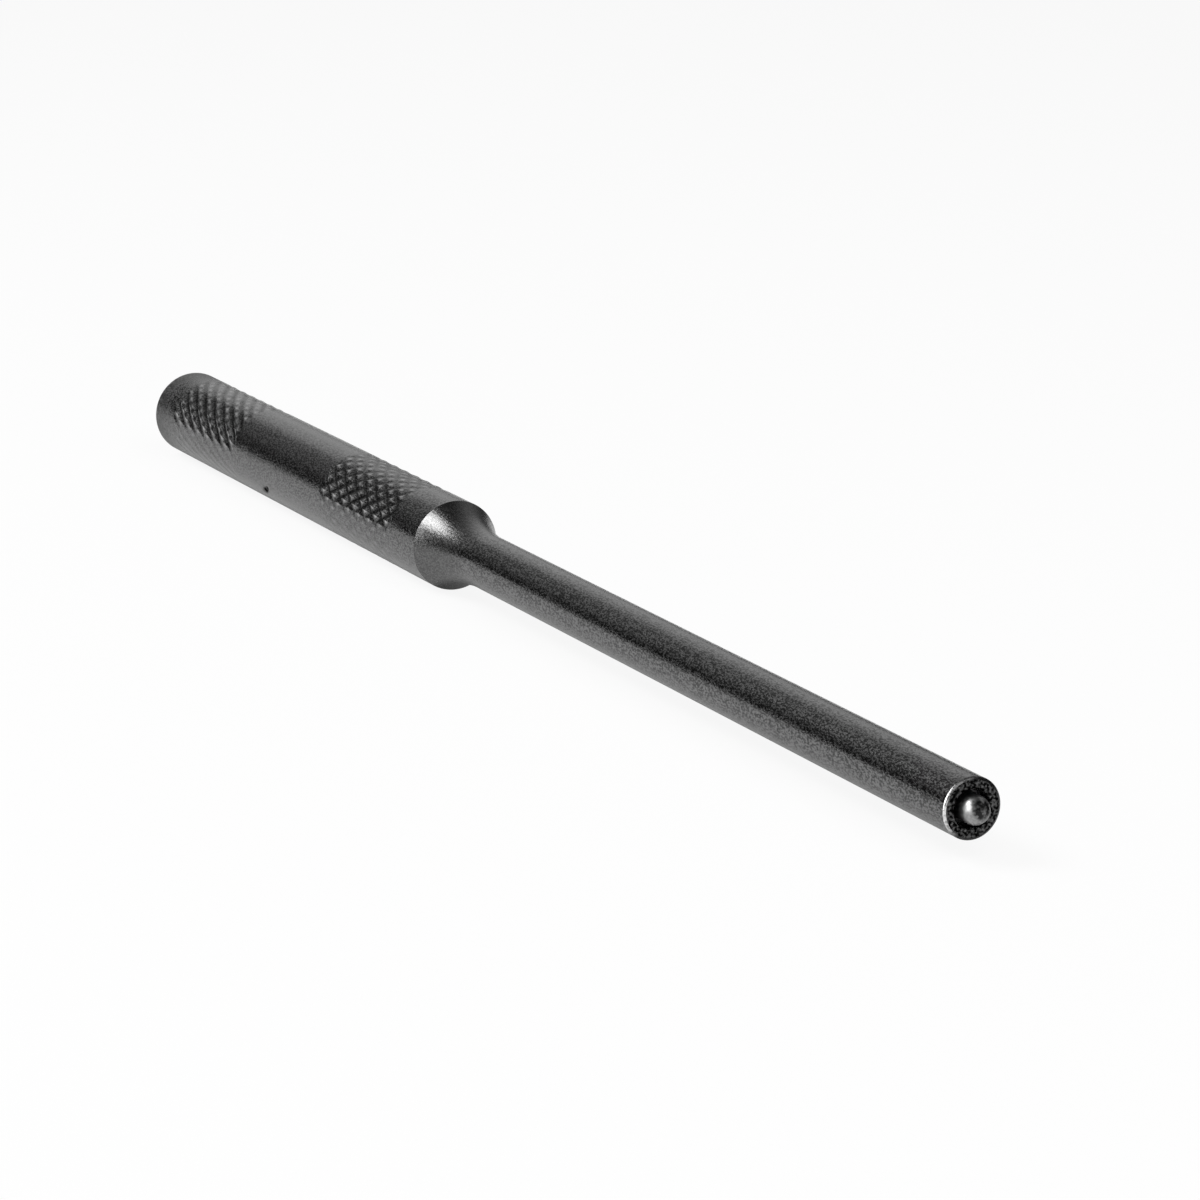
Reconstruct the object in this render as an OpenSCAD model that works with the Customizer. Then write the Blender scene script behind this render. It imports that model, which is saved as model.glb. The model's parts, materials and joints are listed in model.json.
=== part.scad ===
// Pilot punch: a knurled handle, a hollow shoulder and a straight shank, with a sprung pilot in the tip.
// The tool lies along +X. The origin is the centre of the striking face, and the pilot points along +X.

/* [Handle] */
// Diameter of the plain handle
handle_d = 7.9; // [7:0.05:12]
// Length of the handle, from the striking face to the rim of the shoulder
handle_len = 63.3; // [55:0.1:100]
// Chamfer round the striking face
butt_chamfer = 0.8; // [0.2:0.1:1.5]

/* [Knurl] */
// Plain length between each end of the handle and the nearest knurled band
knurl_margin = 5.1; // [2:0.1:8]
// Length of one knurled band
knurl_len = 16.4; // [8:0.1:18]
// Number of diamonds round the handle
knurl_count = 20; // [14:1:26]
// Angle between a groove and the axis, in degrees
knurl_angle = 29; // [22:1:40]
// Depth of the grooves below the plain handle
knurl_depth = 0.09; // [0.05:0.01:0.3]
// Height of the raised diamonds above the plain handle
knurl_rise = 0.03; // [0.02:0.01:0.1]
// Width across the flat top of one diamond
knurl_flat = 0.4; // [0.2:0.05:0.6]

/* [Shank] */
// Diameter of the shank, a little under the pin that it drives
shank_d = 4.7; // [4:0.05:6]
// Length of the straight shank, up to the driving face
shank_len = 81.9; // [40:0.1:120]
// Length of the hollow shoulder between the handle and the shank
shoulder_len = 7.2; // [5:0.1:14]
// Broken edge round the driving face
tip_chamfer = 0.22; // [0.1:0.02:0.3]
// Broken edge round the mouth of the bore
mouth_chamfer = 0.12; // [0.06:0.02:0.2]

/* [Pilot] */
// Diameter of the ball nose, which enters the hollow pin
pilot_d = 2.2; // [1.6:0.05:2.6]
// How far the nose stands out of the driving face, and how far it can be pushed in
pilot_proud = 1.45; // [1.2:0.05:3]
// Gap all round between the nose and its guide bush
nose_clearance = 0.05; // [0.03:0.01:0.1]
// Length of the collar that keeps the pilot in the bore
collar_len = 2; // [1:0.1:4]
// Gap all round between the collar and the bore
collar_clearance = 0.05; // [0.03:0.01:0.1]
// Gap all round between the stem and the inside of the spring
stem_clearance = 0.2; // [0.1:0.05:0.3]
// Room left behind the stem when the nose is pushed in flush
stem_room = 0.3; // [0.2:0.05:1]
// Chamfer round the end of the stem
stem_chamfer = 0.2; // [0.1:0.05:0.3]

/* [Bush] */
// Depth of the bush behind the driving face
bush_setback = 1.6; // [1:0.1:4]
// Length of the bush
bush_len = 3; // [2:0.1:6]
// Wall of the bush, between the pilot's hole and the bore
bush_wall = 0.3; // [0.25:0.05:0.4]
// How much wider the bush is than the bore that it is pressed into
bush_press = 0.01; // [0.005:0.005:0.02]
// Chamfer round the leading outer edge of the bush
bush_chamfer = 0.12; // [0.05:0.01:0.15]

/* [Spring] */
// Length of the spring between the collar and the floor of the bore
spring_len = 12; // [10:0.5:20]
// Number of turns
spring_turns = 12; // [8:1:13]
// Diameter of the spring wire
spring_wire = 0.4; // [0.3:0.05:0.45]
// Gap all round between the spring and the bore
spring_clearance = 0.15; // [0.1:0.05:0.2]

/* [Hidden] */
$fn = 64;
body_color = "#3a3b3d";
bush_color = "#55565a";
pilot_color = "#b9bbbe";
spring_color = "#8b8d90";

// Radii, worked out from the pilot outwards
handle_r = handle_d / 2;
shank_r = shank_d / 2;
pilot_r = pilot_d / 2;
bush_hole_r = pilot_r + nose_clearance;
bore_r = bush_hole_r + bush_wall;
bush_r = bore_r + bush_press / 2;
collar_r = bore_r - collar_clearance;
spring_r = bore_r - spring_clearance - spring_wire / 2;
stem_r = spring_r - spring_wire / 2 - stem_clearance;

// Places along the axis, from the striking face
shoulder_end = handle_len + shoulder_len;
tip = shoulder_end + shank_len;
bush_front = tip - bush_setback;
bush_back = bush_front - bush_len;
collar_back = bush_back - collar_len;
bore_floor = collar_back - spring_len;
stem_end = bore_floor + pilot_proud + stem_room;
nose_centre = tip + pilot_proud - pilot_r;

// The shoulder is one arc, tangent to the shank, that meets the handle in a crisp rim
shoulder_step = handle_r - shank_r;
shoulder_r = (shoulder_len ^ 2 + shoulder_step ^ 2) / (2 * shoulder_step);

// The diamonds are fitted whole into the length of a band
diamond_angle = 360 / knurl_count;
diamond_w = PI * handle_d / knurl_count;
diamond_rows = max(1, round(knurl_len * tan(knurl_angle) / diamond_w));
diamond_len = knurl_len / diamond_rows;
groove_r = handle_r - knurl_depth;
crest_r = handle_r + knurl_rise;
flat_share = knurl_flat * norm([diamond_w, diamond_len]) / (diamond_w * diamond_len);
rear_band = knurl_margin;
front_band = handle_len - knurl_margin - knurl_len;

// The plain lengths run this far into the ends of a band, where its grooves are still above them
band_lap = diamond_len / 4 * knurl_rise / (knurl_rise + knurl_depth);
butt_end = rear_band + band_lap;
middle_start = rear_band + knurl_len - band_lap;
middle_end = front_band + band_lap;
shoulder_start = front_band + knurl_len - band_lap;

// The spring wire has six sides, and eight rings to a turn
wire_sides = 6;
rings_per_turn = 8;
last_ring = spring_turns * rings_per_turn;

function polar(r, angle, z) = [r * cos(angle), r * sin(angle), z];

// Two triangles across a four-cornered facet
function facet(a, b, c, d) = [[a, b, c], [a, c, d]];

// Lays what stands along Z along the tool's axis
module lengthwise() rotate([0, 90, 0]) children();

// Turns a profile of radius against length about the tool's axis
module turned() lengthwise() rotate_extrude() children();

// Triangles from a hub to each edge of the rim round it
function fan(hub, rim) = [for (i = [0 : len(rim) - 1]) [hub, rim[i], rim[(i + 1) % len(rim)]]];

// One knurled band, standing on z = 0 as a plug with flat ends.
// The grooves cross in rows, and each diamond lies between two neighbouring crossings of its row.
// At both ends of the band the grooves run out to the height of the diamonds.
module knurl_band() {
    corner_count = 4;
    rows = 2 * diamond_rows;
    around = [0 : knurl_count - 1];
    function row_z(j) = j * diamond_len / 2;
    function shift(j) = (j % 2) / 2;
    function within(z) = min(max(z, 0), knurl_len);
    function crossing(j, k) = j * knurl_count + k % knurl_count;
    function above(j, k) = crossing(j + 1, k + j % 2);
    function below(j, k) = crossing(j - 1, k + j % 2);
    function crest(j, k, corner) = crossing(rows + 1, 0) + corner_count * crossing(j, k) + corner;
    function groove(j) = j == 0 || j == rows ? crest_r : groove_r;

    // Corners of one flat top, in the order left, upper, right, lower
    function crests(j, k) = let (
        middle = diamond_angle * (k + shift(j) + 1 / 2),
        half_w = flat_share * diamond_angle / 2,
        half_len = flat_share * diamond_len / 2,
        side_r = crest_r / cos(half_w)
    ) [
        polar(side_r, middle - half_w, row_z(j)),
        polar(crest_r, middle, within(row_z(j) + half_len)),
        polar(side_r, middle + half_w, row_z(j)),
        polar(crest_r, middle, within(row_z(j) - half_len))
    ];
    function top(j, k) = facet(crest(j, k, 1), crest(j, k, 2), crest(j, k, 3), crest(j, k, 0));
    function upper_flanks(j, k) = concat(
        facet(crossing(j, k), above(j, k), crest(j, k, 1), crest(j, k, 0)),
        facet(above(j, k), crossing(j, k + 1), crest(j, k, 2), crest(j, k, 1))
    );
    function lower_flanks(j, k) = concat(
        facet(crossing(j, k + 1), below(j, k), crest(j, k, 3), crest(j, k, 2)),
        facet(below(j, k), crossing(j, k), crest(j, k, 0), crest(j, k, 3))
    );

    near_end = [for (k = around)
        each [crossing(0, k), crest(0, k, 0), crest(0, k, 3), crest(0, k, 2)]];
    far_end = [for (k = [knurl_count - 1 : -1 : 0])
        each [crossing(rows, k + 1), crest(rows, k, 2), crest(rows, k, 1), crest(rows, k, 0)]];
    near_hub = crest(rows + 1, 0, 0);
    far_hub = near_hub + 1;
    polyhedron(
        points = concat(
            [for (j = [0 : rows], k = around) polar(groove(j), diamond_angle * (k + shift(j)), row_z(j))],
            [for (j = [0 : rows], k = around) each crests(j, k)],
            [[0, 0, 0], [0, 0, knurl_len]]
        ),
        faces = concat(
            fan(near_hub, near_end),
            fan(far_hub, far_end),
            [for (j = [0 : rows], k = around) each top(j, k)],
            [for (j = [0 : rows - 1], k = around) each upper_flanks(j, k)],
            [for (j = [1 : rows], k = around) each lower_flanks(j, k)]
        )
    );
}

// Profile of the plain length behind the rear band, with its chamfered striking face
module butt_profile() polygon([
    [0, 0],
    [handle_r - butt_chamfer, 0],
    [handle_r, butt_chamfer],
    [handle_r, butt_end],
    [0, butt_end]
]);

// Profile of the plain length between the bands
module middle_profile() translate([0, middle_start]) square([handle_r, middle_end - middle_start]);

// Profile of the plain length before the front band, cut down to the shank by the shoulder's arc
module shoulder_profile() difference() {
    translate([0, shoulder_start]) square([handle_r, shoulder_end - shoulder_start]);
    translate([shank_r + shoulder_r, shoulder_end]) circle(shoulder_r, $fn = 360);
}

// Profile of the shank with its bore
module shank_profile() polygon([
    [0, shoulder_end],
    [shank_r, shoulder_end],
    [shank_r, tip - tip_chamfer],
    [shank_r - tip_chamfer, tip],
    [bore_r + mouth_chamfer, tip],
    [bore_r, tip - mouth_chamfer],
    [bore_r, bore_floor],
    [0, bore_floor]
]);

// The whole punch, turned and knurled from one bar
module punch_body() color(body_color) {
    turned() butt_profile();
    turned() middle_profile();
    turned() {
        shoulder_profile();
        shank_profile();
    }
    for (x = [rear_band, front_band]) translate([x, 0, 0]) lengthwise() knurl_band();
}

// Guide ring pressed into the bore, which also stops the collar
module retaining_bush() color(bush_color) turned() polygon([
    [bush_hole_r, bush_back],
    [bush_r - bush_chamfer, bush_back],
    [bush_r, bush_back + bush_chamfer],
    [bush_r, bush_front],
    [bush_hole_r, bush_front]
]);

// Ball nose, collar and stem, turned in one piece
module pilot_pin() color(pilot_color) turned() {
    intersection() {
        translate([0, nose_centre]) circle(pilot_r);
        translate([0, nose_centre]) square(pilot_d);
    }
    polygon([
        [0, stem_end],
        [stem_r - stem_chamfer, stem_end],
        [stem_r, stem_end + stem_chamfer],
        [stem_r, collar_back],
        [collar_r, collar_back],
        [collar_r, bush_back],
        [pilot_r, bush_back],
        [pilot_r, nose_centre],
        [0, nose_centre]
    ]);
}

// Compression spring of open coils, with both ends ground flat
module pilot_spring() {
    pitch = spring_len / spring_turns;
    lead = atan2(pitch, 2 * PI * spring_r);
    function turn_angle(i) = 360 * i / rings_per_turn;
    function centre(i) = polar(spring_r, turn_angle(i), pitch * i / rings_per_turn);
    function ground(p) = [p.x, p.y, min(max(p.z, 0), spring_len)];

    // One corner of the wire, on a ring that is square to the coil
    function corner(i, side) = let (
        round_wire = 360 * (side + 1 / 2) / wire_sides,
        out = cos(round_wire) * polar(1, turn_angle(i), 0),
        along = sin(round_wire) * (polar(sin(lead), turn_angle(i) - 90, cos(lead)))
    ) ground(centre(i) + spring_wire / 2 * (out + along));
    function index(i, side) = i * wire_sides + side % wire_sides;

    sides = [0 : wire_sides - 1];
    near_end = [for (s = [1 : wire_sides - 2]) [index(0, 0), index(0, s + 1), index(0, s)]];
    far_end = [for (s = [1 : wire_sides - 2])
        [index(last_ring, 0), index(last_ring, s), index(last_ring, s + 1)]];
    walls = [for (i = [0 : last_ring - 1], s = sides)
        each facet(index(i, s), index(i, s + 1), index(i + 1, s + 1), index(i + 1, s))];
    color(spring_color) translate([bore_floor, 0, 0]) lengthwise() polyhedron(
        points = [for (i = [0 : last_ring], s = sides) corner(i, s)],
        faces = concat(near_end, walls, far_end)
    );

    half_turn = rings_per_turn / 2;
    gaps = [for (i = [0 : last_ring - half_turn], j = [i + half_turn : last_ring])
        norm(centre(i) - centre(j)) - spring_wire];
    echo(least_gap_between_turns = min(gaps));
}

punch_body();
retaining_bush();
pilot_pin();
pilot_spring();
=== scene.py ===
# Looks of a pilot punch: a knurled steel punch with a sprung, ball-nosed pilot in its tip
import json
import math
from collections import namedtuple

import bmesh
import bpy
import numpy as np
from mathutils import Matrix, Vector


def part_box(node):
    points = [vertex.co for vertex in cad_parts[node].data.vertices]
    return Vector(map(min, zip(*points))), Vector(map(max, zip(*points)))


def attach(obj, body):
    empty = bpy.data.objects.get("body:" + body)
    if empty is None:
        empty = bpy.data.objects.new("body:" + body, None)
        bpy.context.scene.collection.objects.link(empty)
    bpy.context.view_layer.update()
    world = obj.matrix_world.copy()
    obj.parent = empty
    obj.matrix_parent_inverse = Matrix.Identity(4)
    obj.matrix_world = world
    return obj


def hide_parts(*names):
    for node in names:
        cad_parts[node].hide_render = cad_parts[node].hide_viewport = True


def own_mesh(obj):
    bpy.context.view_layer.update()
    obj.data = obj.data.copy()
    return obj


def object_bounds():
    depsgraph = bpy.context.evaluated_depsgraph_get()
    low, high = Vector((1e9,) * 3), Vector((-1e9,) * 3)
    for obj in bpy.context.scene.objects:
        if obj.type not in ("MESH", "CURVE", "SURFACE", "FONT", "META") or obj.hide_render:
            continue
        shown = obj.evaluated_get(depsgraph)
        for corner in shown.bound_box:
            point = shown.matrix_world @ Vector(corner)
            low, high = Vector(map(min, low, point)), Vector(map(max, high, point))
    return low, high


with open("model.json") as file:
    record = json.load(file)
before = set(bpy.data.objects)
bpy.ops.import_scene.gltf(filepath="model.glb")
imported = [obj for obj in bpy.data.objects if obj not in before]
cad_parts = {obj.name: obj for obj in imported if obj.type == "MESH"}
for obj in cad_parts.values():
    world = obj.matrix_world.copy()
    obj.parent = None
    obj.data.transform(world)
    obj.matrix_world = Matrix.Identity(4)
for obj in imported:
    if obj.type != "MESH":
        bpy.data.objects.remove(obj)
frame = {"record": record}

cad_low, cad_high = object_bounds()

MM = 0.001
MICRON = 0.000001


# Places and radii that the frame gives, in millimetres
def span(node):
    low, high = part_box(node)
    return low / MM, high / MM


def mount_radius(name):
    return next(m for m in frame["record"]["mounts"] if m["name"] == name)["dims"]["r_mm"]


_, body_high = span("punch_body")
pin_low, pin_high = span("pilot_pin")
bush_low, bush_high = span("retaining_bush")
spring_low, spring_high = span("pilot_spring")

tip = body_high.x
shank_r = mount_radius("shank")
pilot_r = mount_radius("pilot_nose")
bore_floor = spring_low.x
collar_back = spring_high.x
collar_r = pin_high.y
stem_end = pin_low.x
nose_centre = pin_high.x - pilot_r
bush_back = bush_low.x
bush_front = bush_high.x

# Sizes of the handle, in millimetres
handle_r = 3.95
handle_len = 63.3
butt_chamfer = 0.8
butt_fillet = 0.15
rim_fillet = 0.05

# Sizes, in millimetres, and counts of the knurl. Its grooves run out over knurl_runout at a band's ends.
knurl_margin = 5.1
knurl_len = 16.4
knurl_count = 20
knurl_rows = 7
knurl_depth = 0.12
knurl_rise = 0.03
knurl_runout = 1.15
rear_band = knurl_margin
front_band = handle_len - knurl_margin - knurl_len

# Depth of the second family of grooves, as a share of the first
rear_cross_share = 0.45
front_cross_share = 1.0

# Places round the handle where the knurl is worn down to a share of its depth
WornPlace = namedtuple("WornPlace", "turn half fade share")
worn_places = (
    WornPlace(turn=math.radians(-45), half=math.radians(42), fade=math.radians(28), share=0.12),
    WornPlace(turn=math.radians(178), half=math.radians(22), fade=math.radians(25), share=0.35),
)

# Wear is 1 on rubbed edges and where a highlight is painted, 0 on plain steel, and -1 or less in dirty
# hollows and where shade is painted.
# The butt is dirtiest butt_dirt_len, in millimetres, in front of its chamfer.
# The knurl is made bare on its crests, partly wear and partly a painted highlight, and darkened in its
# grooves, partly dirt and partly painted shade; the powers keep each to its place.
face_edge_wear = 0.2
butt_edge_wear = 0.1
butt_dirt = -0.1
butt_dirt_len = 0.5
rim_wear = 0.15
knurl_wear_and_highlight = 1.0
knurl_wear_and_highlight_power = 3
knurl_dirt_and_shade = 0.7
knurl_dirt_and_shade_power = 2

# A small nick in the plain middle of the handle, low on the near side
nick_x = 28.2
nick_turn = math.radians(-62)
nick_half_len = 1.5
nick_half_width = 0.5
nick_slant = -0.4
nick_depth = 0.1
nick_steepness = 1.2
nick_dirt = 1.2

# Sizes of the shoulder and the tip, in millimetres
shoulder_len = 7.2
shoulder_end = handle_len + shoulder_len
shoulder_step = handle_r - shank_r
shoulder_r = (shoulder_len ** 2 + shoulder_step ** 2) / (2 * shoulder_step)
tip_edge_len = 0.12
tip_edge_inset = 0.2
mouth_chamfer = 0.12
edge_fillet = 0.03

# The stretch of the tip's broken edge, on the side towards the key light, that is painted bright as a
# highlight
highlight_turn = math.radians(-112)
highlight_to = math.radians(85)
highlight_fade = math.radians(45)

# The darkened cap of the ball, partly tarnish and partly painted shade, with its middle as a direction and
# its reach as angles from there
tarnish_and_shade_way = Vector((0.96, 0.08, 0.26)).normalized()
tarnish_and_shade_full = math.radians(34)
tarnish_and_shade_to = math.radians(52)

# Sizes of the inner pieces, in millimetres
bush_press = 0.01
bore_r = bush_high.y - bush_press / 2
nose_clearance = 0.05
bush_hole_r = pilot_r + nose_clearance
bush_chamfer = 0.12
stem_chamfer = 0.2
stem_clearance = 0.2
spring_len = collar_back - bore_floor
spring_wire = 0.4
spring_turns = 12
spring_r = spring_high.y - spring_wire / 2
stem_r = spring_r - spring_wire / 2 - stem_clearance

# Fineness of the meshes
steps_per_diamond = 16
body_columns = knurl_count * steps_per_diamond
small_columns = 96
fillet_steps = 4
fillet_hold = 0.02
shoulder_steps = 32
nick_steps = 14
ball_steps = 24
wire_sides = 12
rings_per_turn = 32

# One circle of a turned piece, with its wear and painted light and the number of its material
Ring = namedtuple("Ring", "x r wear finish")

# Materials of the punch's body, by number
coat_finish, edge_finish, face_finish = range(3)


# Meshes of turned pieces
def column_angles(count):
    """Angle of each column of a turned piece, from straight down towards +Y."""
    return np.arange(count) * 2 * math.pi / count


def turn_from(count, turn):
    """Signed angle of each column of a turned piece from a place on its circle."""
    return (column_angles(count) - turn + math.pi) % (2 * math.pi) - math.pi


def smooth(share):
    share = np.clip(share, 0, 1)
    return share * share * (3 - 2 * share)


def fillet_rings(before, corner, after, fillet, wear, finish):
    """An arc that rounds a corner, with a ring just outside each end to hold the flats flat."""
    back = (before - corner).normalized()
    ahead = (after - corner).normalized()
    half = back.angle(ahead) / 2
    reach = fillet / math.tan(half)
    centre = corner + (back + ahead).normalized() * fillet / math.sin(half)
    start = corner + back * reach - centre
    end = corner + ahead * reach - centre
    spots = [centre + start.slerp(end, k / fillet_steps) * fillet for k in range(fillet_steps + 1)]
    hold_before = corner + back * (reach + fillet_hold)
    hold_after = corner + ahead * (reach + fillet_hold)
    return [
        Ring(hold_before.x, hold_before.y, 0, finish),
        *[Ring(spot.x, spot.y, wear, finish) for spot in spots],
        Ring(hold_after.x, hold_after.y, 0, finish),
    ]


def outline(corners, finish=0):
    """Rings along corners of x, radius, fillet, and wear with painted light."""
    rings = []
    for i, (x, r, fillet, wear) in enumerate(corners):
        if fillet:
            before = Vector(corners[i - 1][:2])
            after = Vector(corners[(i + 1) % len(corners)][:2])
            rings += fillet_rings(before, Vector((x, r)), after, fillet, wear, finish)
        else:
            rings.append(Ring(x, r, wear, finish))
    return rings


def split_quad(quad, first_rise, second_rise):
    """The two triangles of a facet, parted along the flatter diagonal."""
    a, b, c, d = quad
    if first_rise < second_rise:
        return [(a, b, c), (a, c, d)]
    return [(a, b, d), (b, c, d)]


def turned_piece(name, rings, count, materials, closed=False):
    """A solid of revolution about X. A ring of radius 0 is a point on the axis."""
    angles = column_angles(count)
    radii = [np.broadcast_to(np.asarray(ring.r, float), (count,)) for ring in rings]
    points, wear, loops = [], [], []
    for ring, r in zip(rings, radii):
        start = len(points)
        if r.any():
            loops.append(np.arange(start, start + count))
            points.extend(zip([ring.x] * count, r * np.sin(angles), -r * np.cos(angles)))
            wear.extend(np.broadcast_to(np.asarray(ring.wear, float), (count,)))
        else:
            loops.append(np.full(count, start))
            points.append((ring.x, 0, 0))
            wear.append(0)
    faces, finishes = [], []
    for k in range(len(rings) - (0 if closed else 1)):
        near, far = loops[k], loops[(k + 1) % len(rings)]
        near_r, far_r = radii[k], radii[(k + 1) % len(rings)]
        plain = np.ptp(near_r) == 0 and np.ptp(far_r) == 0
        for j in range(count):
            n = (j + 1) % count
            quad = [int(v) for v in (near[j], near[n], far[n], far[j])]
            if plain:
                made = [tuple(dict.fromkeys(quad))]
            else:
                made = split_quad(quad, abs(near_r[j] - far_r[n]), abs(near_r[n] - far_r[j]))
            faces += made
            finishes += [rings[k].finish] * len(made)
    return mesh_piece(name, points, faces, materials, finishes, wear)


def mesh_piece(name, points, faces, materials, finishes, wear):
    """A smooth mesh in metres from points in millimetres, with its wear and painted light as an attribute.
    """
    mesh = bpy.data.meshes.new(name)
    mesh.from_pydata([Vector(p) * MM for p in points], [], faces)
    for material in materials:
        mesh.materials.append(material)
    mesh.polygons.foreach_set("material_index", finishes)
    mesh.attributes.new("wear", "FLOAT", "POINT").data.foreach_set("value", wear)
    shaped = bmesh.new()
    shaped.from_mesh(mesh)
    bmesh.ops.recalc_face_normals(shaped, faces=shaped.faces)
    shaped.to_mesh(mesh)
    shaped.free()
    mesh.shade_smooth()
    piece = bpy.data.objects.new(name, mesh)
    bpy.context.scene.collection.objects.link(piece)
    return piece


# Pieces
def knurl_band(start, cross_share):
    """One band of diamonds, left between two families of grooves. The second may be the shallower."""
    diamond_len = knurl_len / knurl_rows
    step_count = knurl_rows * steps_per_diamond
    around = np.arange(body_columns) / steps_per_diamond
    kept = np.ones(body_columns)
    for worn in worn_places:
        aside = np.abs(turn_from(body_columns, worn.turn))
        kept *= worn.share + (1 - worn.share) * smooth((aside - worn.half) / worn.fade)
    rings = []
    for step in range(step_count + 1):
        along = step / steps_per_diamond
        from_end = min(step, step_count - step) * diamond_len / steps_per_diamond
        deep = kept * smooth(from_end / knurl_runout)
        first, second = (smooth(2 * np.abs(f - np.round(f))) for f in (around - along, around + along))
        height = np.minimum(first, 1 - cross_share * (1 - second))
        low = handle_r - knurl_depth * deep
        high = handle_r + knurl_rise * deep
        # Crests are made bare, partly wear and partly a painted highlight; grooves are darkened, partly
        # dirt and partly painted shade.
        crest_wear_and_highlight = knurl_wear_and_highlight * height ** knurl_wear_and_highlight_power
        dirt = knurl_dirt_and_shade * (1 - height) ** knurl_dirt_and_shade_power
        radius = low + (high - low) * height
        rings.append(Ring(start + along * diamond_len, radius, deep * (crest_wear_and_highlight - dirt), coat_finish))
    return rings


def nick_rings():
    """Rings round the plain handle with one shallow, dirty dent in them."""
    aside = handle_r * turn_from(body_columns, nick_turn)
    rings = []
    for step in range(-nick_steps, nick_steps + 1):
        along = step / nick_steps
        off_line = (aside - nick_slant * along * nick_half_len) / nick_half_width
        hollow = smooth(nick_steepness * (1 - np.hypot(along, off_line)))
        radius = handle_r - nick_depth * hollow
        rings.append(Ring(nick_x + along * nick_half_len, radius, -nick_dirt * hollow, coat_finish))
    return rings


def shoulder_arc():
    """Corners along the arc from the handle's rim, which runs tangent into the shank."""
    places = [handle_len + shoulder_len * k / shoulder_steps for k in range(1, shoulder_steps + 1)]
    sags = [math.sqrt(shoulder_r ** 2 - (shoulder_end - x) ** 2) for x in places]
    return [(x, shank_r + shoulder_r - sag, 0, 0) for x, sag in zip(places, sags)]


def punch_body(coat_steel, edge_steel, face_steel):
    """The turned bar, from the striking face along the outside to the tip and down the bore."""
    face_r = shank_r - tip_edge_inset
    butt = outline([
        (0, 0, 0, 0),
        (0, handle_r - butt_chamfer, butt_fillet, face_edge_wear),
        (butt_chamfer, handle_r, butt_fillet, butt_edge_wear),
        (butt_chamfer + butt_dirt_len, handle_r, 0, butt_dirt),
        (rear_band - fillet_hold, handle_r, 0, 0),
    ])
    rear_knurl = knurl_band(rear_band, rear_cross_share)
    front_knurl = knurl_band(front_band, front_cross_share)
    front = outline([
        (front_band + knurl_len + fillet_hold, handle_r, 0, 0),
        (handle_len, handle_r, rim_fillet, rim_wear),
        *shoulder_arc(),
        (tip - tip_edge_len - fillet_hold, shank_r, 0, 0),
    ])
    # The broken edge at the tip is painted bright as a highlight on the side towards the key light.
    wear_and_highlight_share = smooth((highlight_to - np.abs(turn_from(body_columns, highlight_turn))) / highlight_fade)
    edge = [Ring(tip - tip_edge_len, shank_r, wear_and_highlight_share, edge_finish), Ring(tip, face_r, wear_and_highlight_share, face_finish)]
    bore = outline([
        (tip, face_r - fillet_hold, 0, 0),
        (tip, bore_r + mouth_chamfer, edge_fillet, 0),
        (tip - mouth_chamfer, bore_r, edge_fillet, 0),
        (bore_floor, bore_r, 0, 0),
        (bore_floor, 0, 0, 0),
    ], finish=face_finish)
    rings = butt + rear_knurl + nick_rings() + front_knurl + front + edge + bore
    return turned_piece("punch_body_steel", rings, body_columns, [coat_steel, edge_steel, face_steel])


def retaining_bush(steel):
    """The ring in the bore, with all its edges a little rounded."""
    rings = outline([
        (bush_back, bush_hole_r, edge_fillet, 1),
        (bush_back, bore_r - bush_chamfer, edge_fillet, 1),
        (bush_back + bush_chamfer, bore_r, edge_fillet, 1),
        (bush_front, bore_r, edge_fillet, 1),
        (bush_front, bush_hole_r, edge_fillet, 1),
    ])
    return turned_piece("retaining_bush_steel", rings, small_columns, [steel], closed=True)


def ball_tarnish_and_shade(rise):
    """How darkened each column of the ball is, partly tarnish and partly painted shade, at an angle from
    its widest circle.
    """
    around = column_angles(small_columns)
    sideways = tarnish_and_shade_way.y * np.sin(around) - tarnish_and_shade_way.z * np.cos(around)
    apart = np.arccos(np.clip(tarnish_and_shade_way.x * math.sin(rise) + sideways * math.cos(rise), -1, 1))
    return smooth((tarnish_and_shade_to - apart) / (tarnish_and_shade_to - tarnish_and_shade_full))


def pilot_pin(steel):
    """Stem, collar and ball nose, turned in one piece, with a darkened cap on the ball, partly tarnish and
    partly painted shade.
    """
    quarter = [math.pi / 2 * k / ball_steps for k in range(ball_steps)]
    ball = [(nose_centre + pilot_r * math.sin(a), pilot_r * math.cos(a), 0, -ball_tarnish_and_shade(a)) for a in quarter]
    rings = outline([
        (stem_end, 0, 0, 0),
        (stem_end, stem_r - stem_chamfer, edge_fillet, 1),
        (stem_end + stem_chamfer, stem_r, edge_fillet, 1),
        (collar_back, stem_r, edge_fillet, 0),
        (collar_back, collar_r, edge_fillet, 1),
        (bush_back, collar_r, edge_fillet, 1),
        (bush_back, pilot_r, edge_fillet, 0),
        *ball,
        (nose_centre + pilot_r, 0, 0, 0),
    ])
    return turned_piece("pilot_pin_steel", rings, small_columns, [steel])


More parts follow.
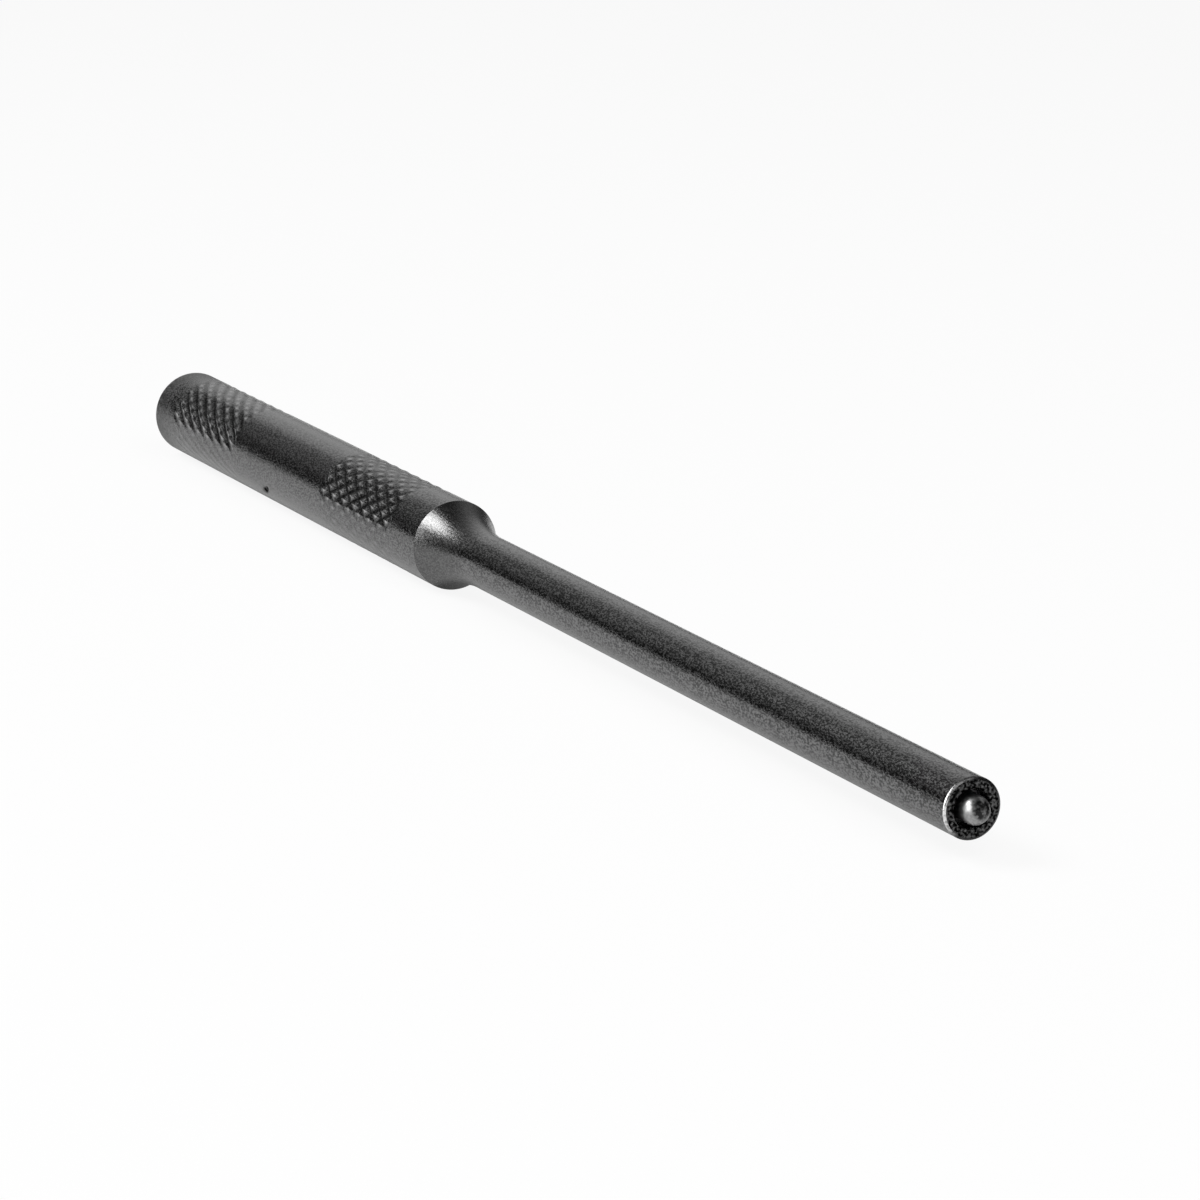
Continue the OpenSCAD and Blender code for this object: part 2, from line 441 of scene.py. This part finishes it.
def pilot_spring(steel):
    """A round wire wound from the bore's floor to the collar, with both ends ground flat."""
    pitch = spring_len / spring_turns
    lead = math.atan2(pitch, 2 * math.pi * spring_r)
    ring_count = spring_turns * rings_per_turn + 1
    points, faces = [], []
    for i in range(ring_count):
        turn = 2 * math.pi * i / rings_per_turn
        out = Vector((0, math.sin(turn), -math.cos(turn)))
        forward = Vector((math.sin(lead), math.cos(lead) * math.cos(turn), math.cos(lead) * math.sin(turn)))
        centre = out * spring_r + Vector((pitch * i / rings_per_turn, 0, 0))
        across = out.cross(forward)
        for side in range(wire_sides):
            a = 2 * math.pi * side / wire_sides
            spot = centre + (out * math.cos(a) + across * math.sin(a)) * spring_wire / 2
            points.append((bore_floor + min(max(spot.x, 0), spring_len), spot.y, spot.z))
    for i in range(ring_count - 1):
        for side in range(wire_sides):
            near, far = i * wire_sides, (i + 1) * wire_sides
            n = (side + 1) % wire_sides
            faces.append((near + side, near + n, far + n, far + side))
    faces.append(tuple(range(wire_sides)))
    faces.append(tuple(range((ring_count - 1) * wire_sides, ring_count * wire_sides)))
    return mesh_piece("pilot_spring_wire", points, faces, [steel], [0] * len(faces), [0] * len(points))


# Shader nodes
noise_detail = 3


def add_node(tree, kind, inputs=None, **settings):
    made = tree.nodes.new(kind)
    for key, value in settings.items():
        setattr(made, key, value)
    for socket, value in (inputs or {}).items():
        if isinstance(value, bpy.types.NodeSocket):
            tree.links.new(value, made.inputs[socket])
        else:
            made.inputs[socket].default_value = value
    return made


def grey(level):
    return (level, level, level, 1)


def noise(tree, vector, size=1, fine=0.5):
    """Noise with features of a given size. Fine is the weight of its finer octaves."""
    inputs = {"Vector": vector, "Scale": 1 / size, "Detail": noise_detail, "Roughness": fine}
    return add_node(tree, "ShaderNodeTexNoise", inputs).outputs["Fac"]


def remap(tree, value, low, high, to_low, to_high):
    """A value taken from one range to another, and held within it."""
    made = add_node(tree, "ShaderNodeMapRange", {
        "Value": value, "From Min": low, "From Max": high, "To Min": to_low, "To Max": to_high,
    })
    return made.outputs["Result"]


def mix_colour(tree, factor, first, second):
    made = add_node(tree, "ShaderNodeMix", {0: factor, 6: first, 7: second}, data_type="RGBA")
    return made.outputs[2]


def math_node(tree, operation, first, second):
    return add_node(tree, "ShaderNodeMath", {0: first, 1: second}, operation=operation).outputs[0]


def vector_node(tree, operation, inputs):
    return add_node(tree, "ShaderNodeVectorMath", inputs, operation=operation).outputs


def bump(tree, height, microns, normal=None):
    inputs = {"Height": height, "Strength": 1.0, "Distance": microns * MICRON}
    if normal:
        inputs["Normal"] = normal
    return add_node(tree, "ShaderNodeBump", inputs).outputs["Normal"]


# Finishes of the steel. Greys are linear, sizes are in millimetres and bump heights in microns.
# Dark and light are the greys of the grain, the bare grey is the steel under it and also paints highlights,
# and the dirt grey is what soils it and also paints shade.
# Worn is how bare a rubbed edge or a painted highlight is. Stains cover the places where the patches pass
# stain_from.
# Smooth and rough are the roughness of the dark and the light grain.
# Grain, patch and marks are the sizes of the grain, the patches and the turning marks.
# The grain goes from dark to light between grain_from and grain_to, and is stretched along the tool by
# grain_long. Grain_fine is the weight of its finest part, and grazing tints reflections at a low angle.
Finish = namedtuple(
    "Finish",
    "dark light bare dirt worn stain_from patch smooth rough grain grain_bump marks marks_bump "
    "grain_from grain_to grain_long grain_fine grazing",
    defaults=(0.36, 0.64, 1.0, 0.5, 1.0),
)

black_oxide = Finish(
    dark=0.055, light=0.21, bare=0.75, dirt=0.01, worn=1.0, stain_from=1.0, patch=0.6,
    smooth=0.08, rough=0.26, grain=0.14, grain_bump=18.0, marks=0.12, marks_bump=1.5,
    grain_from=0.44, grain_to=0.56, grain_long=2.0, grain_fine=0.6, grazing=0.85,
)
# The tip's broken edge: bare steel that paints a highlight on the side towards the key light.
highlight_edge = Finish(
    dark=0.02, light=0.06, bare=0.80, dirt=0.02, worn=1.0, stain_from=0.66, patch=0.25,
    smooth=0.22, rough=0.34, grain=0.12, grain_bump=6.0, marks=0.08, marks_bump=1.0,
)
# The tip's face and bore: near-black scale, darkened past the steel's own colour as painted shade.
scale_and_painted_shade = Finish(
    dark=0.001, light=0.16, bare=0.10, dirt=0.002, worn=0.2, stain_from=0.6, patch=0.5,
    smooth=0.25, rough=0.4, grain=0.22, grain_bump=80.0, marks=0.10, marks_bump=2.0,
    grain_from=0.46, grain_to=0.68,
)
ground_steel = Finish(
    dark=0.14, light=0.20, bare=0.30, dirt=0.02, worn=0.6, stain_from=0.6, patch=0.5,
    smooth=0.30, rough=0.42, grain=0.10, grain_bump=1.5, marks=0.08, marks_bump=1.5,
)
bright_steel = Finish(
    dark=0.27, light=0.38, bare=0.50, dirt=0.015, worn=0.5, stain_from=0.70, patch=0.35,
    smooth=0.32, rough=0.42, grain=0.2, grain_bump=14.0, marks=0.15, marks_bump=0.3,
)
spring_steel = Finish(
    dark=0.22, light=0.30, bare=0.36, dirt=0.02, worn=0.5, stain_from=0.62, patch=0.4,
    smooth=0.22, rough=0.32, grain=0.12, grain_bump=1.0, marks=0.20, marks_bump=0.5,
)

# What all finishes share. Marks change little round the tool, by marks_round for each millimetre.
# Wear and soil, with the painted highlights and painted shade, are thinner between the patches, down to
# patch_least of what they are on them.
marks_round = 0.15
patch_from = 0.4
patch_to = 0.55
patch_least = 0.4
stain_fade = 0.12
stain_cover = 0.9
soil_and_shade_cover = 0.95
dirt_and_shade_rough = 0.4
dirt_and_shade_grazing = 0.1

# Roughness that the body's coat gains at the butt and on the shoulder, with the places where it fades
butt_blur = 0.22
butt_blur_from = 2
butt_blur_to = 8
shoulder_blur = 0.08
shoulder_blur_len = 4
shoulder_blur_from = handle_len + shoulder_blur_len
shoulder_blur_to = shoulder_end

# Contrast of the coat's grain where it is calm: on the shoulder, and in part on worn or dirty places and
# where highlight or shade is painted
calm_speckle = 0.35
worked_calm = 0.6


def steel_material(name, finish, blurred=False):
    """Steel with a fine grain, turning marks round the axis, rubbed edges, stains, dirty hollows, painted
    highlights and painted shade.

    A blurred one is rougher at the butt and on the shoulder, and its grain is calmer on the shoulder and on
    places of wear, dirt, painted highlight and painted shade.
    """
    material = bpy.data.materials.new(name)
    material.use_nodes = True
    tree = material.node_tree
    shader = tree.nodes["Principled BSDF"]
    place = add_node(tree, "ShaderNodeTexCoord").outputs["Object"]
    in_mm = vector_node(tree, "SCALE", {0: place, "Scale": 1 / MM})[0]
    marks_scale = (1 / finish.marks, marks_round, marks_round)
    grain_scale = (1 / finish.grain_long, 1, 1)
    marks_place = vector_node(tree, "MULTIPLY", {0: in_mm, 1: marks_scale})[0]
    grain_place = vector_node(tree, "MULTIPLY", {0: in_mm, 1: grain_scale})[0]
    grain = noise(tree, grain_place, finish.grain, finish.grain_fine)
    patches = noise(tree, in_mm, finish.patch)
    marks = noise(tree, marks_place)
    wear = add_node(tree, "ShaderNodeAttribute", attribute_name="wear").outputs["Fac"]
    patchy = remap(tree, patches, patch_from, patch_to, patch_least, 1)
    # Bareness from the wear attribute: real wear, and painted highlights on the knurl crests and the tip's
    # edge.
    wear_and_highlight_share = math_node(tree, "MULTIPLY", remap(tree, wear, 0, 1, 0, finish.worn), patchy)
    stains = remap(tree, patches, finish.stain_from, finish.stain_from + stain_fade, 0, stain_cover)
    # Darkening from a negative wear attribute: real dirt, and painted shade in the knurl grooves and on the
    # ball's cap.
    soil_and_shade_share = remap(tree, math_node(tree, "MULTIPLY", wear, patchy), 0, -1, 0, soil_and_shade_cover)
    dirt_and_shade_share = math_node(tree, "MAXIMUM", stains, soil_and_shade_share)
    speckle = remap(tree, grain, finish.grain_from, finish.grain_to, 0, 1)
    if blurred:
        along = add_node(tree, "ShaderNodeSeparateXYZ", {0: in_mm}).outputs["X"]
        begins = remap(tree, along, handle_len - rim_fillet, handle_len, 0, 1)
        fades = remap(tree, along, shoulder_blur_from, shoulder_blur_to, 1, 0)
        on_shoulder = math_node(tree, "MINIMUM", begins, fades)
        calm = remap(tree, speckle, 0, 1, (1 - calm_speckle) / 2, (1 + calm_speckle) / 2)
        worked = remap(tree, math_node(tree, "ABSOLUTE", wear, 0), 0, 1, 0, worked_calm)
        speckle = remap(tree, math_node(tree, "MAXIMUM", on_shoulder, worked), 0, 1, speckle, calm)
    coat = mix_colour(tree, speckle, grey(finish.dark), grey(finish.light))
    bared_and_highlit = mix_colour(tree, wear_and_highlight_share, coat, grey(finish.bare))
    colour = mix_colour(tree, dirt_and_shade_share, bared_and_highlit, grey(finish.dirt))
    roughness = remap(tree, speckle, 0, 1, finish.smooth, finish.rough)
    if blurred:
        butt = remap(tree, along, butt_blur_from, butt_blur_to, butt_blur, 0)
        blur = math_node(tree, "MAXIMUM", butt, remap(tree, on_shoulder, 0, 1, 0, shoulder_blur))
        roughness = math_node(tree, "ADD", roughness, blur)
    roughness = remap(tree, dirt_and_shade_share, 0, 1, roughness, dirt_and_shade_rough)
    at_grazing = mix_colour(tree, dirt_and_shade_share, grey(finish.grazing), grey(dirt_and_shade_grazing))
    normal = bump(tree, grain, finish.grain_bump, bump(tree, marks, finish.marks_bump))
    tree.links.new(colour, shader.inputs["Base Color"])
    tree.links.new(roughness, shader.inputs["Roughness"])
    tree.links.new(at_grazing, shader.inputs["Specular Tint"])
    tree.links.new(normal, shader.inputs["Normal"])
    shader.inputs["Metallic"].default_value = 1
    return material


body_steel = steel_material("black_oxide_steel", black_oxide, blurred=True)
edge_steel = steel_material("rubbed_edge_steel", highlight_edge)
face_steel = steel_material("black_scale_steel", scale_and_painted_shade)
bush_steel = steel_material("ground_bush_steel", ground_steel)
pin_steel = steel_material("bright_pin_steel", bright_steel)
wire_steel = steel_material("spring_wire_steel", spring_steel)


# The part, piece by piece
def place_piece(piece, body, node):
    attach(piece, body)
    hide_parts(node)
    return piece


place_piece(punch_body(body_steel, edge_steel, face_steel), "punch", "punch_body")
place_piece(retaining_bush(bush_steel), "punch", "retaining_bush")
place_piece(pilot_pin(pin_steel), "pilot", "pilot_pin")
spring = place_piece(pilot_spring(wire_steel), "punch", "pilot_spring")

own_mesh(spring)


# Stage: a white floor in a dim room that only reflections see, with sizes in metres
stage_centre = Vector((cad_high.x / 2, 0, cad_low.z))
floor_half = 2.0
floor_white = 0.93
floor_glow_seen = 0.9
floor_glow_mirrored = 0.15
room_radius = 1.8
room_columns = 48
room_rows = 12

# The room's walls are pale in a band at middle height, with its edges as elevations in degrees
room_dark = 0.07
room_pale = 0.35
room_dark_to = 11
room_pale_from = 29
room_pale_to = 40
room_dark_from = 58

# Bright places on the room's walls, with angles in degrees
Patch = namedtuple("Patch", "azimuth elevation inner outer strength")
pale_wall = Patch(azimuth=160, elevation=22, inner=13, outer=22, strength=0.82)
window = Patch(azimuth=-81, elevation=20, inner=17, outer=24, strength=5.0)


def direction(azimuth, elevation):
    turn, rise = math.radians(azimuth), math.radians(elevation)
    return Vector((math.cos(turn) * math.cos(rise), math.sin(turn) * math.cos(rise), math.sin(rise)))


def stage_mesh(name, points, faces, material):
    mesh = bpy.data.meshes.new(name)
    mesh.from_pydata(points, [], faces)
    mesh.materials.append(material)
    made = bpy.data.objects.new(name, mesh)
    bpy.context.scene.collection.objects.link(made)
    return made


def stage_material(name):
    material = bpy.data.materials.new(name)
    material.use_nodes = True
    material.node_tree.nodes.clear()
    return material, material.node_tree


def floor_material():
    """White paper that the camera and reflections see lit from within, and that keeps a soft shadow."""
    material, tree = stage_material("floor_paper")
    rays = add_node(tree, "ShaderNodeLightPath").outputs
    paper = add_node(tree, "ShaderNodeBsdfDiffuse", {"Color": grey(floor_white)}).outputs[0]
    glow = add_node(tree, "ShaderNodeEmission", {"Color": grey(1), "Strength": 1.0}).outputs[0]
    mirrored = math_node(tree, "ADD", rays["Is Glossy Ray"], rays["Is Transmission Ray"])
    seen = math_node(tree, "MULTIPLY", rays["Is Camera Ray"], floor_glow_seen)
    share = math_node(tree, "ADD", seen, math_node(tree, "MULTIPLY", mirrored, floor_glow_mirrored))
    mixed = add_node(tree, "ShaderNodeMixShader", {0: share, 1: paper, 2: glow}).outputs[0]
    add_node(tree, "ShaderNodeOutputMaterial", {"Surface": mixed})
    return material


def room_material():
    """Dark walls and ceiling with a paler band between them, a pale wall and a window."""
    material, tree = stage_material("room_walls")
    place = add_node(tree, "ShaderNodeTexCoord").outputs["Object"]
    toward = vector_node(tree, "NORMALIZE", {0: place})[0]
    height = add_node(tree, "ShaderNodeSeparateXYZ", {0: toward}).outputs["Z"]
    steps = (room_dark_to, room_pale_from, room_pale_to, room_dark_from)
    low, pale_low, pale_high, high = (math.sin(math.radians(angle)) for angle in steps)
    rising = remap(tree, height, low, pale_low, room_dark, room_pale)
    falling = remap(tree, height, pale_high, high, room_pale, room_dark)
    strength = math_node(tree, "MINIMUM", rising, falling)
    for patch in (pale_wall, window):
        middle = direction(patch.azimuth, patch.elevation)
        nearness = vector_node(tree, "DOT_PRODUCT", {0: toward, 1: middle})["Value"]
        outer, inner = (math.cos(math.radians(angle)) for angle in (patch.outer, patch.inner))
        light = remap(tree, nearness, outer, inner, 0, patch.strength)
        strength = math_node(tree, "MAXIMUM", strength, light)
    glow = add_node(tree, "ShaderNodeEmission", {"Color": grey(1), "Strength": strength}).outputs[0]
    add_node(tree, "ShaderNodeOutputMaterial", {"Surface": glow})
    return material


def make_floor():
    sides = ((-1, -1), (1, -1), (1, 1), (-1, 1))
    corners = [(x * floor_half, y * floor_half, cad_low.z) for x, y in sides]
    stage_mesh("floor", corners, [(0, 1, 2, 3)], floor_material())


def make_room_walls():
    """Half a sphere over the floor, which shows in reflections alone and casts no shadow."""
    points = []
    for row in range(room_rows):
        for column in range(room_columns):
            points.append(direction(360 * column / room_columns, 90 * row / room_rows) * room_radius)
    points.append(Vector((0, 0, room_radius)))
    top = len(points) - 1
    faces = []
    for row in range(room_rows):
        for column in range(room_columns):
            here = row * room_columns + column
            beside = row * room_columns + (column + 1) % room_columns
            if row < room_rows - 1:
                faces.append((here, beside, beside + room_columns, here + room_columns))
            else:
                faces.append((here, beside, top))
    walls = stage_mesh("room_walls", points, faces, room_material())
    walls.location = stage_centre
    walls.visible_camera = False
    walls.visible_diffuse = False
    walls.visible_shadow = False


make_floor()
make_room_walls()


# Light: a key box on the near side, a weak fill on the far side, a box high beyond the tip that
# reflections don't show, and a white sky with a weak fill of its own
sky_glow = 1.0
sky_fill = 0.12


def soft_box(name, azimuth, elevation, distance, length, height, watts):
    """A rectangular lamp aimed at the tool's middle, with its length level."""
    lamp = bpy.data.lights.new(name, "AREA")
    lamp.shape = "RECTANGLE"
    lamp.size = length
    lamp.size_y = height
    lamp.energy = watts
    box = bpy.data.objects.new(name, lamp)
    away = direction(azimuth, elevation)
    box.location = stage_centre + away * distance
    box.rotation_mode = "QUATERNION"
    box.rotation_quaternion = (-away).to_track_quat("-Z", "Y")
    box.visible_camera = False
    bpy.context.scene.collection.objects.link(box)
    return box


def make_sky():
    world = bpy.data.worlds.new("white_sky")
    bpy.context.scene.world = world
    world.use_nodes = True
    tree = world.node_tree
    tree.nodes.clear()
    rays = add_node(tree, "ShaderNodeLightPath").outputs
    seen = math_node(tree, "ADD", rays["Is Camera Ray"], rays["Is Glossy Ray"])
    shown = math_node(tree, "ADD", seen, rays["Is Transmission Ray"])
    fill = add_node(tree, "ShaderNodeBackground", {"Color": grey(1), "Strength": sky_fill}).outputs[0]
    white = add_node(tree, "ShaderNodeBackground", {"Color": grey(1), "Strength": sky_glow}).outputs[0]
    mixed = add_node(tree, "ShaderNodeMixShader", {0: shown, 1: fill, 2: white}).outputs[0]
    add_node(tree, "ShaderNodeOutputWorld", {"Surface": mixed})


soft_box("key_box", azimuth=-114, elevation=49, distance=0.65, length=0.4, height=0.28, watts=2.9)
soft_box("fill_box", azimuth=90, elevation=48, distance=0.8, length=0.3, height=0.15, watts=0.15)
overhead = soft_box("top_box", azimuth=0, elevation=45, distance=0.6, length=0.5, height=0.4, watts=1.75)
overhead.visible_glossy = False
make_sky()


# Camera at the photograph's place, with no roll and no shift. Its angles are in degrees, its lens and
# sensor in millimetres, and what it sees reaches from camera_near to camera_far in metres.
camera_place = Vector((434.01, -165.78, 96.76)) * MM
camera_azimuth = 64.13
camera_elevation = 14.06
camera_lens = 144.27
sensor_width = 36
camera_near = 0.01
camera_far = 20


def make_camera():
    lens = bpy.data.cameras.new("camera")
    lens.sensor_fit = "HORIZONTAL"
    lens.sensor_width = sensor_width
    lens.lens = camera_lens
    lens.clip_start = camera_near
    lens.clip_end = camera_far
    camera = bpy.data.objects.new("camera", lens)
    turn, rise = math.radians(camera_azimuth), math.radians(camera_elevation)
    back = Vector((math.sin(turn) * math.cos(rise), -math.cos(turn) * math.cos(rise), math.sin(rise)))
    camera.location = camera_place
    camera.rotation_mode = "QUATERNION"
    camera.rotation_quaternion = (-back).to_track_quat("-Z", "Y")
    bpy.context.scene.collection.objects.link(camera)
    bpy.context.scene.camera = camera


make_camera()
bpy.context.scene.view_settings.view_transform = "Standard"
